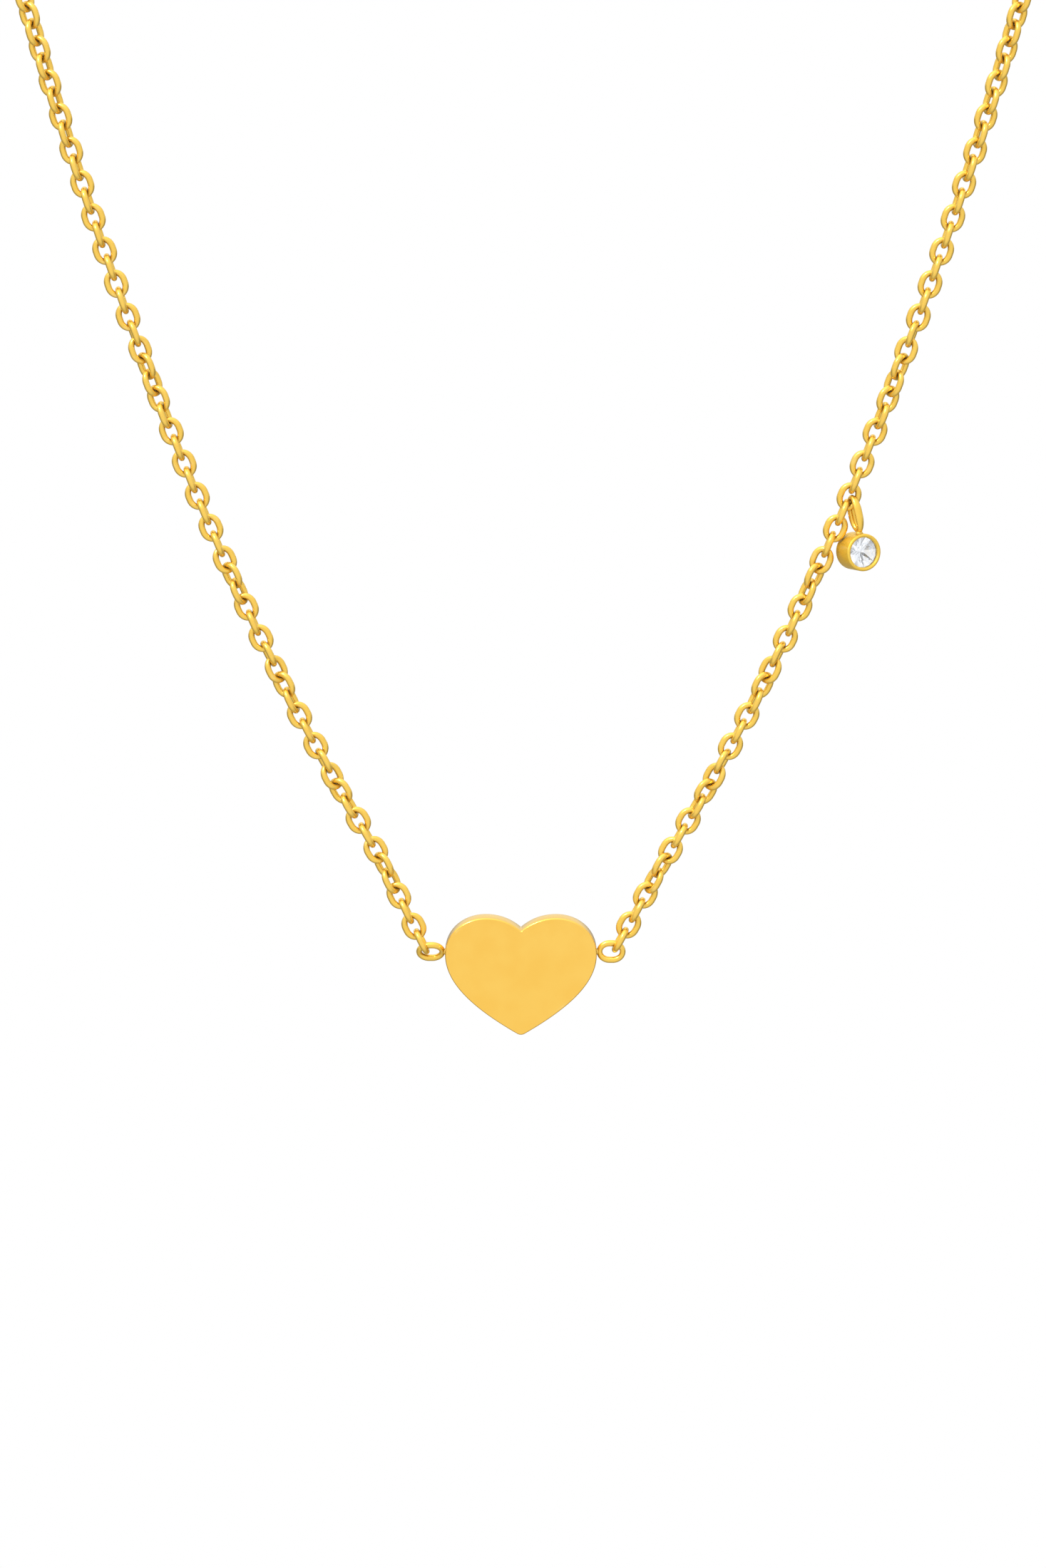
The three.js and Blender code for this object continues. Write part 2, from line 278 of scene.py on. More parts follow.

# Crystal and its foil, whose facets glow with painted glints. FACET_PICK is the direction that
# sorts the facets into light and dark.
GLASS = (0.97, 0.98, 1.0)
GLASS_IOR = 1.7
HAZE_PER_METRE = 1500
HAZE_SPAN = (0.4, 0.8)
HAZE_ROUGHNESS = (0.0, 0.02)
FOIL = (0.3, 0.31, 0.32)
FOIL_LIGHT = (0.95, 0.97, 1.0)
FOIL_PER_METRE = 900
FOIL_SPAN = (0.3, 0.7)
FOIL_ROUGHNESS = (0.05, 0.12)
FACET_PICK = (3.1, 1.7, 2.3)
FACET_SPAN = (0.05, 0.6)
FACET_GLOW = (0.0, 0.8)


def node_tree(name):
    """A new material with an empty node tree."""
    material = bpy.data.materials.new(name)
    material.use_nodes = True
    nodes = material.node_tree.nodes
    nodes.clear()
    return material, nodes, material.node_tree.links


def value_range(nodes, links, source, span, result):
    """Maps a value from one span of numbers to another, each a (low, high) pair."""
    remap = nodes.new("ShaderNodeMapRange")
    for index, value in zip((1, 2, 3, 4), (*span, *result)):
        remap.inputs[index].default_value = value
    links.new(source, remap.inputs[0])
    return remap.outputs[0]


def noise(nodes, links, coordinates, per_metre, stretch=(1, 1, 1), detail=3.0):
    """Procedural noise in the object's own frame, so it stays put when a body moves."""
    mapping = nodes.new("ShaderNodeMapping")
    mapping.inputs["Scale"].default_value = [per_metre * s for s in stretch]
    texture = nodes.new("ShaderNodeTexNoise")
    texture.inputs["Scale"].default_value = 1.0
    texture.inputs["Detail"].default_value = detail
    links.new(coordinates, mapping.inputs["Vector"])
    links.new(mapping.outputs[0], texture.inputs["Vector"])
    return texture.outputs[0]


def plated_metal(name, colour, worn, roughness, grain, grain_stretch, scratch_depth, metallic):
    """Polished plating under a clear lacquer: slight drift in colour, paler rubbed edges, painted
    shade in the corners, and fine polishing marks in roughness and bump. grain is the marks' scale
    per metre."""
    material, nodes, links = node_tree(name)
    output = nodes.new("ShaderNodeOutputMaterial")
    shader = nodes.new("ShaderNodeBsdfPrincipled")
    links.new(shader.outputs[0], output.inputs[0])
    shader.inputs["Metallic"].default_value = metallic
    shader.inputs["Specular Tint"].default_value = (*EDGE_TINT, 1)
    shader.inputs["Specular IOR Level"].default_value = PLATING_GLOSS
    shader.inputs["Coat Weight"].default_value = LACQUER
    shader.inputs["Coat Roughness"].default_value = LACQUER_ROUGHNESS
    coordinates = nodes.new("ShaderNodeTexCoord").outputs["Object"]
    drift = noise(nodes, links, coordinates, DRIFT_PER_METRE, detail=2.0)
    marks = noise(nodes, links, coordinates, grain, grain_stretch, detail=5.0)

    tint = nodes.new("ShaderNodeMix")
    tint.data_type = "RGBA"
    deep = [channel * share for channel, share in zip(colour, DEEP_SHARE)]
    tint.inputs["A"].default_value = (*deep, 1)
    tint.inputs["B"].default_value = (*colour, 1)
    links.new(value_range(nodes, links, drift, DRIFT_SPAN, (0, 1)), tint.inputs["Factor"])

    pointiness = nodes.new("ShaderNodeNewGeometry").outputs["Pointiness"]
    edge = nodes.new("ShaderNodeMix")
    edge.data_type = "RGBA"
    rubbed = value_range(nodes, links, pointiness, EDGE_SPAN, (0, EDGE_WEAR))
    links.new(rubbed, edge.inputs["Factor"])
    links.new(tint.outputs["Result"], edge.inputs["A"])
    edge.inputs["B"].default_value = (*worn, 1)

    # Painted shade: the colour darkens towards a dark gold where neighbours are near, in place of
    # the shade that falls into corners and between links.
    crevice = nodes.new("ShaderNodeAmbientOcclusion")
    crevice.samples = 8
    crevice.inputs["Distance"].default_value = CREVICE_REACH
    crevice_painted_shade = nodes.new("ShaderNodeMix")
    crevice_painted_shade.data_type = "RGBA"
    depth = value_range(nodes, links, crevice.outputs["AO"], CREVICE_SPAN, (CREVICE_DEPTH, 0))
    links.new(depth, crevice_painted_shade.inputs["Factor"])
    links.new(edge.outputs["Result"], crevice_painted_shade.inputs["A"])
    crevice_painted_shade.inputs["B"].default_value = (*[channel * CREVICE_SHADE for channel in worn], 1)
    links.new(crevice_painted_shade.outputs["Result"], shader.inputs["Base Color"])

    polish = value_range(nodes, links, marks, MARKS_SPAN, roughness)
    links.new(polish, shader.inputs["Roughness"])
    bump = nodes.new("ShaderNodeBump")
    bump.inputs["Strength"].default_value = SCRATCH_STRENGTH
    bump.inputs["Distance"].default_value = scratch_depth
    links.new(marks, bump.inputs["Height"])
    links.new(bump.outputs[0], shader.inputs["Normal"])
    return material


def cut_glass(name):
    """Clear crystal with a faint haze, as on handled stones."""
    material, nodes, links = node_tree(name)
    output = nodes.new("ShaderNodeOutputMaterial")
    shader = nodes.new("ShaderNodeBsdfPrincipled")
    links.new(shader.outputs[0], output.inputs[0])
    shader.inputs["Base Color"].default_value = (*GLASS, 1)
    shader.inputs["Transmission Weight"].default_value = 1.0
    shader.inputs["IOR"].default_value = GLASS_IOR
    coordinates = nodes.new("ShaderNodeTexCoord").outputs["Object"]
    haze = noise(nodes, links, coordinates, HAZE_PER_METRE)
    blur = value_range(nodes, links, haze, HAZE_SPAN, HAZE_ROUGHNESS)
    links.new(blur, shader.inputs["Roughness"])
    return material


def foil_back(name):
    """The silvered back of the crystal. Each facet glows with its own share of painted light,
    picked
    by the way the facet faces: painted glints in place of the sparkle of a real stone."""
    material, nodes, links = node_tree(name)
    output = nodes.new("ShaderNodeOutputMaterial")
    shader = nodes.new("ShaderNodeBsdfPrincipled")
    links.new(shader.outputs[0], output.inputs[0])
    shader.inputs["Metallic"].default_value = 1.0
    shader.inputs["Base Color"].default_value = (*FOIL, 1)
    coordinates = nodes.new("ShaderNodeTexCoord").outputs["Object"]
    cloud = noise(nodes, links, coordinates, FOIL_PER_METRE)
    blur = value_range(nodes, links, cloud, FOIL_SPAN, FOIL_ROUGHNESS)
    links.new(blur, shader.inputs["Roughness"])

    # Painted glints: the glow of each facet is set by its facing, not by any lamp.
    facing = nodes.new("ShaderNodeVectorMath")
    facing.operation = "DOT_PRODUCT"
    links.new(nodes.new("ShaderNodeNewGeometry").outputs["True Normal"], facing.inputs[0])
    facing.inputs[1].default_value = FACET_PICK
    share = nodes.new("ShaderNodeMath")
    share.operation = "FRACT"
    links.new(facing.outputs["Value"], share.inputs[0])
    glow = value_range(nodes, links, share.outputs[0], FACET_SPAN, FACET_GLOW)
    links.new(glow, shader.inputs["Emission Strength"])
    shader.inputs["Emission Color"].default_value = (*FOIL_LIGHT, 1)
    return material


heart_gold = plated_metal(
    "heart_gold", GOLD, GOLD_WORN, roughness=(0.15, 0.21),
    grain=2600, grain_stretch=(1, 1, 5), scratch_depth=0.0004 * MM, metallic=1.0)
wire_gold = plated_metal(
    "wire_gold", WIRE_GOLD, GOLD_WORN, roughness=(0.22, 0.32),
    grain=5200, grain_stretch=(1, 1, 1), scratch_depth=0.0015 * MM, metallic=0.85)
bezel_gold = plated_metal(
    "bezel_gold", BEZEL_GOLD, GOLD_WORN, roughness=(0.5, 0.58),
    grain=3000, grain_stretch=(1, 3, 1), scratch_depth=0.0003 * MM, metallic=0.7)
spring_steel = plated_metal(
    "spring_steel", STEEL, STEEL_WORN, roughness=(0.2, 0.35),
    grain=5200, grain_stretch=(1, 1, 1), scratch_depth=0.001 * MM, metallic=1.0)
crystal_glass = cut_glass("crystal_glass")
crystal_foil_painted_glint = foil_back("crystal_foil_painted_glint")


# ---------------------------------------------------------------- chain

def link_roll(link):
    """Roll of a link about the chain: 0 shows its face to the front, a quarter its edge."""
    turns = sum(
        min(max((link - middle) / spread + 0.5, 0), 1) for middle, spread in QUARTER_TURNS
    )
    return math.radians(90 * (link + turns))


def run_pivots(side):
    """The points the runs of one arm turn on, from the heart out, with the arm's far end."""
    pivots = []
    while f"{side}_chain_{len(pivots) + 1:02d}_bend" in JOINTS:
        pivots.append(joint_place(f"{side}_chain_{len(pivots) + 1:02d}_bend")[0])
    last = "clasp_jump_ring_swing" if side == "left" else "end_ring_swing"
    return pivots + [joint_place(last)[0]]


def build_arm(side):
    """One arm of the chain, a piece for each of the frame's runs of links."""
    link_points, link_faces = oval(
        LINK_LENGTH, LINK_WIDTH, WIRE, LINK_OVALITY, LINK_STEPS, LINK_SIDES, belly=LINK_BELLY)
    outward = -1 if side == "left" else 1
    pivots = run_pivots(side)
    link_number = 0
    for index, (start, end) in enumerate(zip(pivots, pivots[1:])):
        name = f"{side}_chain_{index + 1:02d}"
        along = (end - start).normalized()
        across = Vector((outward * along.z, 0, -outward * along.x))
        parts = []
        for i in range(round((end - start).length / LINK_PITCH)):
            link_number += 1
            roll = link_roll(link_number)
            width = math.cos(roll) * across + math.sin(roll) * Vector((0, 1, 0))
            middle = start + along * (LINK_LENGTH / 2 - 1.5 * WIRE + i * LINK_PITCH)
            place = axes_at(middle, along, width, along.cross(width))
            parts.append((link_points, link_faces, place))
        run = piece(f"{name}_links", name, "gold_tone_wire", wire_gold, name)
        fill(run, parts)


# ---------------------------------------------------------------- heart

# Half of the heart's outline from the cleft to the tip, in millimetres: curves, each of two
# handles and an end. The shape is stretched to the frame's heart.
HEART_START = (0.0, 1.98)
HEART_CURVES = (
    ((0.9, 2.75), (1.9, 3.1), (3.03, 3.1)),
    ((4.95, 3.1), (6.5, 1.75), (6.5, -0.1)),
    ((6.5, -2.5), (4.3, -4.7), (0.3, -7.05)),
    ((0.2, -7.1), (0.1, -7.125), (0.0, -7.125)),
)
OUTLINE_STEPS_PER_MM = 10
HEART_RING_STEPS = 48
SOLDER_STEPS = 24

# Rounded edges: their radii on the heart, how far past the rounding the flat face starts, and
# the angles of a quarter round.
FRONT_EDGE = 0.14 * MM
BACK_EDGE = 0.08 * MM
EDGE_MARGIN = 1.3
EDGE_TURNS = [math.radians(degrees) for degrees in range(0, 91, 15)]


def heart_outline():
    """The whole outline as (x, z) points in millimetres, without repeating its ends."""
    half = [HEART_START]
    start = HEART_START
    for handle_a, handle_b, end in HEART_CURVES:
        count = max(3, round(OUTLINE_STEPS_PER_MM * math.dist(start, end)))
        for i in range(1, count + 1):
            t = i / count
            weights = ((1 - t) ** 3, 3 * t * (1 - t) ** 2, 3 * t * t * (1 - t), t ** 3)
            corners = (start, handle_a, handle_b, end)
            half.append(tuple(
                sum(w * corner[axis] for w, corner in zip(weights, corners)) for axis in (0, 1)
            ))
        start = end
    return half + [(-x, z) for x, z in reversed(half[1:-1])]


def build_heart():
    """The heart plate: its outline swept through a section with rounded edges. A loop just
    inside each edge keeps the shading of the flat faces flat."""
    low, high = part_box("heart_plate")
    outline = heart_outline()
    widest = max(x for x, _ in outline)
    top = max(z for _, z in outline)
    bottom = min(z for _, z in outline)
    scale_z = (high.z - low.z) / (top - bottom)
    loop = [
        Vector((x / widest * high.x, 0, high.z + (z - top) * scale_z)) for x, z in outline
    ]
    count = len(loop)
    inward = []
    for i in range(count):
        before = (loop[i] - loop[i - 1]).normalized()
        after = (loop[(i + 1) % count] - loop[i]).normalized()
        normal = (Vector((before.z, 0, -before.x)) + Vector((after.z, 0, -after.x))).normalized()
        share = max(0.5, math.sqrt((1 + before.dot(after)) / 2))
        inward.append(normal / share)
    section = [(BACK_EDGE * EDGE_MARGIN, high.y)]
    section += [
        (BACK_EDGE * (1 - math.sin(a)), high.y - BACK_EDGE * (1 - math.cos(a)))
        for a in EDGE_TURNS
    ]
    section += [
        (FRONT_EDGE * (1 - math.cos(a)), low.y + FRONT_EDGE * (1 - math.sin(a)))
        for a in EDGE_TURNS
    ]
    section.append((FRONT_EDGE * EDGE_MARGIN, low.y))
    points = []
    for inset, y in section:
        points.extend(
            Vector((p.x + inset * n.x, y, p.z + inset * n.z)) for p, n in zip(loop, inward)
        )
    faces = grid_faces(len(section), count, False, True)
    faces.append(tuple(range(count)))
    faces.append(tuple(len(points) - count + i for i in range(count)))
    heart = piece("heart_plate_polished", "heart", "gold_tone_metal", heart_gold, "heart_plate")
    fill(heart, [(points, faces, Matrix.Identity(4))])


def build_heart_rings():
    """The two side rings and their solder. The left ring is tilted about the necklace's width."""
    ring_points, ring_faces = oval(
        LINK_LENGTH, LINK_WIDTH, WIRE, LINK_OVALITY, HEART_RING_STEPS, LOOP_SIDES,
        belly=LINK_BELLY)
    for side, tilt in (("left", LEFT_RING_TILT), ("right", 0.0)):
        node = f"{side}_heart_ring"
        turn = Matrix.Rotation(math.radians(90) + tilt, 4, "X")
        ring = piece(f"{node}_wire", "heart", "gold_tone_wire", wire_gold, node)
        fill(ring, [(ring_points, ring_faces, Matrix.Translation(box_centre(node)) @ turn)])
        build_solder(side, box_centre(node))


def build_solder(side, ring_centre):
    """The small collar of solder between a ring's wire and the heart's edge."""
    outward = -1 if side == "left" else 1
    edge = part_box("heart_plate")[1].x
    reach = ring_centre.x * outward - LINK_LENGTH / 2 + WIRE * 0.6 - edge
    root = edge - 0.1 * MM
    profile = [
        (0, 0),
        (0.3 * MM, 0),
        (0.27 * MM, 0.13 * MM),
        (0.2 * MM, 0.17 * MM + reach * 0.4),
        (0.15 * MM, 0.1 * MM + reach),
        (0, 0.12 * MM + reach),
    ]
    points, faces = lathe(profile, SOLDER_STEPS)
    axis = Vector((outward, 0, 0))
    place = axes_at(Vector((root * outward, ring_centre.y, ring_centre.z)),
                    Vector((0, 0, 1)), axis, Vector((0, 0, 1)).cross(axis))
    solder = piece(f"{side}_solder_collar", "heart", "gold_tone_metal", bezel_gold)
    fill(solder, [(points, faces, place)])


# ---------------------------------------------------------------- charm

CUP_RADIUS = 1.6 * MM
CUP_DEPTH = 2.3 * MM
CUP_CORNER = 0.22 * MM
CUP_LIP = 0.16 * MM
CUP_FLOOR = 0.4 * MM
CUP_STEPS = 96

BAIL_LENGTH = 3.35 * MM
BAIL_WIDTH = 1.72 * MM
BAIL_WIRE = 0.48 * MM
BAIL_OVALITY = 0.75
BAIL_FLARE = 0.5
BAIL_TILT = math.radians(12)
BAIL_STEPS = 64
BEAD_SINK = 0.06 * MM

# The crystal. The shares say where the table, the stars and the lower facets end on its radius.
CRYSTAL_RADIUS = 1.3 * MM
CROWN_HEIGHT = 0.36 * MM
PAVILION_DEPTH = 1.05 * MM
GIRDLE_HALF = 0.03 * MM
TABLE_SETBACK = 0.03 * MM
TABLE_SHARE = 0.57
STAR_SHARE = 0.78
LOWER_SHARE = 0.25


def charm_frame():
    """The charm's own frame: origin on the bail's top bow, -Z down to the cup, -Y its face."""
    pivot, axis = joint_place("charm_swing")
    back = axis if axis.y > 0 else -axis
    up = (pivot - box_centre("bezel_cup")).normalized()
    right = back.cross(up).normalized()
    return axes_at(pivot, right, up.cross(right), up), (pivot - box_centre("bezel_cup")).length


def cup_profile():
    """(radius, y) round the cup from the middle of its back, over the rim, to its floor."""
    back = CUP_DEPTH / 2
    front = -CUP_DEPTH / 2
    profile = [(0, back), (CUP_RADIUS * 0.6, back)]
    for a in EDGE_TURNS:
        radius = CUP_RADIUS - CUP_CORNER * (1 - math.sin(a))
        profile.append((radius, back - CUP_CORNER * (1 - math.cos(a))))
    profile.append((CUP_RADIUS, 0))
    for a in EDGE_TURNS:
        radius = CUP_RADIUS - CUP_LIP * (1 - math.cos(a))
        profile.append((radius, front + CUP_LIP * (1 - math.sin(a))))
    rim = CRYSTAL_RADIUS * 0.985
    for share, drop in ((0.55, 0.02), (0.25, 0.07), (0.08, 0.13), (0.0, 0.2), (0.0, 0.3)):
        profile.append((rim + share * (CUP_RADIUS - CUP_LIP - rim), front + drop * MM))
    seat = CRYSTAL_RADIUS * 1.03
    profile += [(seat, front + 0.36 * MM), (seat, front + 0.5 * MM)]
    profile += [(0.5 * MM, back - CUP_FLOOR), (0, back - CUP_FLOOR)]
    return profile


def brilliant():
    """A round brilliant: table up Z, 8 stars, 8 kites and 16 upper facets over a girdle, 8
    mains and 16 lower facets. Returns points, faces, and how many faces are in front."""
    slope = CROWN_HEIGHT / (CRYSTAL_RADIUS * (1 - TABLE_SHARE))

    def ring(count, share, height, offset=0.0):
        return [
            Vector((
                share * CRYSTAL_RADIUS * math.cos(2 * math.pi * (k + offset) / count),
                share * CRYSTAL_RADIUS * math.sin(2 * math.pi * (k + offset) / count),
                height,
            ))
            for k in range(count)
        ]

    star_reach = STAR_SHARE * CRYSTAL_RADIUS * math.cos(math.pi / 8)
    star_height = CROWN_HEIGHT - (star_reach - TABLE_SHARE * CRYSTAL_RADIUS) * slope
    main_slope = PAVILION_DEPTH / CRYSTAL_RADIUS
    lower_reach = LOWER_SHARE * CRYSTAL_RADIUS * math.cos(math.pi / 8)
    table = ring(8, TABLE_SHARE, CROWN_HEIGHT + GIRDLE_HALF)
    stars = ring(8, STAR_SHARE, star_height + GIRDLE_HALF, 0.5)
    girdle_top = ring(16, 1.0, GIRDLE_HALF)
    girdle_low = ring(16, 1.0, -GIRDLE_HALF)
    lowers = ring(8, LOWER_SHARE, -PAVILION_DEPTH + lower_reach * main_slope - GIRDLE_HALF, 0.5)
    points = table + stars + girdle_top + girdle_low + lowers
    points.append(Vector((0, 0, -PAVILION_DEPTH - GIRDLE_HALF)))
    # The first point of the table, stars, upper girdle, lower girdle and lowers, and the culet.
    t, s, g, b, p, culet = 0, 8, 16, 32, 48, 56
    faces = [tuple(range(8))]
    for k in range(8):
        n = (k + 1) % 8
        g0, g1, g2 = 2 * k, 2 * k + 1, (2 * k + 2) % 16
        faces.append((t + k, s + k, t + n))
        faces.append((t + k, s + (k - 1) % 8, g + g0, s + k))
        faces.append((s + k, g + g0, g + g1))
        faces.append((s + k, g + g1, g + g2))
    front = len(faces)
    for k in range(16):
        faces.append((g + k, b + k, b + (k + 1) % 16, g + (k + 1) % 16))
    for k in range(8):
        g0, g1, g2 = 2 * k, 2 * k + 1, (2 * k + 2) % 16
        faces.append((culet, p + k, b + g0, p + (k - 1) % 8))
        faces.append((p + k, b + g1, b + g0))
        faces.append((p + k, b + g2, b + g1))
    return points, faces, front


def build_cup(cup_place):
    """The turned cup with its rolled rim."""
    cup = piece("bezel_cup_turned", "charm", "gold_tone_metal", bezel_gold, "bezel_cup")
    fill(cup, [(*lathe(cup_profile(), CUP_STEPS), cup_place)])
    cup.data.set_sharp_from_angle(angle=math.radians(50))


def build_bail(place, drop):
    """The oval bail through the chain's link, and the bead that holds it on the cup."""
    bail = piece("bezel_bail_loop", "charm", "gold_tone_wire", wire_gold, "bezel_bail")
    upright = axes_at(Vector((0, 0, 0)), Vector((0, 0, 1)), Vector((0, 1, 0)), Vector((-1, 0, 0)))
    tilt = Matrix.Rotation(-BAIL_TILT, 4, "X")
    hang = Matrix.Translation((0, 0, (BAIL_WIRE - BAIL_LENGTH) / 2))
    loop = oval(
        BAIL_LENGTH, BAIL_WIDTH, BAIL_WIRE, BAIL_OVALITY, BAIL_STEPS, LOOP_SIDES,
        flare=BAIL_FLARE)
    fill(bail, [(*loop, place @ tilt @ hang @ upright)])

    foot = (BAIL_LENGTH - BAIL_WIRE) * math.sin(BAIL_TILT)
    bead = [
        (0, 0),
        (0.34 * MM, 0),
        (0.3 * MM, 0.16 * MM),
        (0.24 * MM, 0.28 * MM),
        (0.12 * MM, 0.36 * MM),
        (0, 0.38 * MM),
    ]
    seat = place @ Matrix.Translation((0, -foot, CUP_RADIUS - drop - BEAD_SINK))
    solder = piece("bail_solder_bead", "charm", "gold_tone_metal", bezel_gold)
    upturned = Matrix.Rotation(math.radians(90), 4, "X")
    fill(solder, [(*lathe(bead, SOLDER_STEPS), seat @ upturned)])


def build_crystal(cup_place):
    """The crystal, table to the front, with its back faces foiled."""
    crystal = piece("crystal_brilliant", "charm", "clear_crystal", crystal_glass, "crystal")
    crystal.data.materials.append(crystal_foil_painted_glint)
    points, faces, front = brilliant()
    girdle = -CUP_DEPTH / 2 + TABLE_SETBACK + CROWN_HEIGHT + GIRDLE_HALF
    face_front = axes_at(
        Vector((0, girdle, 0)), Vector((1, 0, 0)), Vector((0, 0, 1)), Vector((0, -1, 0)))
    fill(crystal, [(points, faces, cup_place @ face_front)], smooth=False)
    for index, polygon in enumerate(crystal.data.polygons):
        polygon.material_index = 0 if index < front else 1


def build_charm():
    """The charm: cup, bail and crystal, all on one body."""
    place, drop = charm_frame()
    cup_place = place @ Matrix.Translation((0, 0, -drop))
    build_cup(cup_place)
    build_bail(place, drop)
    build_crystal(cup_place)


# ---------------------------------------------------------------- clasp

# Places round the clasp's ring are in degrees from the side away from its eye, and places round
# its tube in degrees from the outside. In this section the sizes of wires are radii.
CLASP_RADIUS = 2.3 * MM
CLASP_STEP = 2
MOUTH = (-10, 40)
TUBE_RADIUS = 0.62 * MM
TUBE_STEP = 10
TUBE_WALL = 0.16 * MM
TUBE_ROUNDING = 0.04 * MM
SLOT_ARC = (64, 134)
SLOT_HALF_TURN = 20

BOLT_RADIUS = 0.34 * MM
BOLT_ARC = (-16, 82)
BOLT_STEPS = 48
BOLT_SIDES = 20
KNOB_ANGLE = 70
KNOB_LENGTH = 1.0 * MM
KNOB_ROOT = 0.1 * MM
KNOB_STEPS = 24

SPRING_ARC = (146, 200)
SPRING_COIL = 0.28 * MM
SPRING_WIRE = 0.06 * MM
SPRING_TURNS = 7
STEPS_PER_TURN = 18
SPRING_SIDES = 8

EYE_RADIUS = 0.8 * MM
EYE_WIRE = 0.25 * MM
EYE_STEPS = 48
JUMP_RADIUS = 1.3 * MM
JUMP_WIRE = 0.3 * MM
END_RADIUS = 1.6 * MM
END_WIRE = 0.35 * MM
RING_STEPS = 64
RING_SIDES = 18


def clasp_frame():
    """The clasp's own frame: origin in the middle of the ring, -X to the eye, Z its axis."""
    centre, axis = joint_place("clasp_bolt_slide")
    along = (centre - box_centre("clasp_eye")).normalized()
    return axes_at(centre, along, axis.cross(along), axis)


def build_clasp_body(place):
    """The hollow ring: a bent tube with an open mouth and a slot for the knob."""
    angles = list(range(MOUTH[1], MOUTH[0] + 360 + 1, CLASP_STEP))
    around = list(range(0, 360, TUBE_STEP))
    points = []
    for angle in angles:
        out = Vector((math.cos(math.radians(angle)), math.sin(math.radians(angle)), 0))
        for turn in around:
            reach = TUBE_RADIUS * math.cos(math.radians(turn))
            rise = TUBE_RADIUS * math.sin(math.radians(turn))
            points.append((CLASP_RADIUS + reach) * out + Vector((0, 0, rise)))
    faces = []
    for index, face in enumerate(grid_faces(len(angles), len(around), False, True)):
        angle = angles[index // len(around)] + CLASP_STEP / 2
        turn = (around[index % len(around)] + TUBE_STEP / 2 + 180) % 360 - 180
        in_slot = SLOT_ARC[0] < angle < SLOT_ARC[1] and abs(turn) < SLOT_HALF_TURN
        if not in_slot:
            faces.append(face)
    body = piece("clasp_body_tube", "clasp", "gold_tone_metal", bezel_gold, "clasp_body")
    fill(body, [(points, faces, place)])
    wall = body.modifiers.new("wall", "SOLIDIFY")
    wall.thickness = TUBE_WALL
    wall.offset = -1
    wall.use_even_offset = True
    rounding = body.modifiers.new("rounding", "BEVEL")
    rounding.width = TUBE_ROUNDING
    rounding.segments = 2
    rounding.limit_method = "ANGLE"
    rounding.angle_limit = math.radians(60)


def build_clasp_bolt(place):
    """The curved bolt and the knob that stands out of the slot."""
    start, end = (math.radians(a) for a in BOLT_ARC)
    bar = arc_bar(CLASP_RADIUS, start, end, BOLT_RADIUS, BOLT_STEPS, BOLT_SIDES, nose=True)
    profile = [
        (0, 0),
        (0.15 * MM, 0),
        (0.15 * MM, 0.6 * KNOB_LENGTH),
        (0.21 * MM, 0.68 * KNOB_LENGTH),
        (0.24 * MM, 0.8 * KNOB_LENGTH),
        (0.2 * MM, 0.93 * KNOB_LENGTH),
        (0.1 * MM, KNOB_LENGTH),
        (0, 1.02 * KNOB_LENGTH),
    ]
    turn = math.radians(KNOB_ANGLE)
    knob_out = Vector((math.cos(turn), math.sin(turn), 0))
    up = Vector((0, 0, 1))
    knob_place = axes_at((CLASP_RADIUS + KNOB_ROOT) * knob_out, up.cross(knob_out), knob_out, -up)
    bolt = piece("clasp_bolt_and_knob", "clasp_bolt", "gold_tone_metal", bezel_gold, "clasp_bolt")
    fill(bolt, [(*bar, place), (*lathe(profile, KNOB_STEPS), place @ knob_place)])


def build_clasp_spring(place):
    """The coil spring, bent along the ring behind the bolt."""
    centres, outs, ups = [], [], []
    steps = SPRING_TURNS * STEPS_PER_TURN
    for i in range(steps + 1):
        t = i / steps
        angle = math.radians(SPRING_ARC[0] + (SPRING_ARC[1] - SPRING_ARC[0]) * t)
        coil = 2 * math.pi * SPRING_TURNS * t
        out = Vector((math.cos(angle), math.sin(angle), 0))
        up = Vector((0, 0, 1))
        radial = math.cos(coil) * out + math.sin(coil) * up
        centres.append(CLASP_RADIUS * out + SPRING_COIL * radial)
        outs.append(radial)
        ups.append(Vector((-math.sin(angle), math.cos(angle), 0)))
    bar = sweep(centres, outs, ups, [SPRING_WIRE] * (steps + 1), SPRING_SIDES, False)
    spring = piece("clasp_spring_coil", "clasp", "spring_steel", spring_steel, "clasp_spring")
    fill(spring, [(*bar, place)])


def build_loose_ring(name, body, node, radius, wire, joint, split):
    """A round jump ring hanging on a joint, with a hairline split, in degrees, where it was
    closed."""
    pivot, axis = joint_place(joint)
    centre = box_centre(node)
    along = (centre - pivot).normalized()
    gap = math.radians(split) / 2
    points, faces = arc_bar(radius, gap, 2 * math.pi - gap, wire, RING_STEPS, RING_SIDES)
    side = axis.cross(along).normalized()
    place = axes_at(centre, side, along, side.cross(along))
    spin = Matrix.Rotation(math.radians(90), 4, "Y") if abs(axis.dot(side)) > 0.5 else Matrix()
    ring = piece(name, body, "gold_tone_wire", wire_gold, node)
    fill(ring, [(points, faces, place @ spin)])
    ring.data.set_sharp_from_angle(angle=math.radians(60))


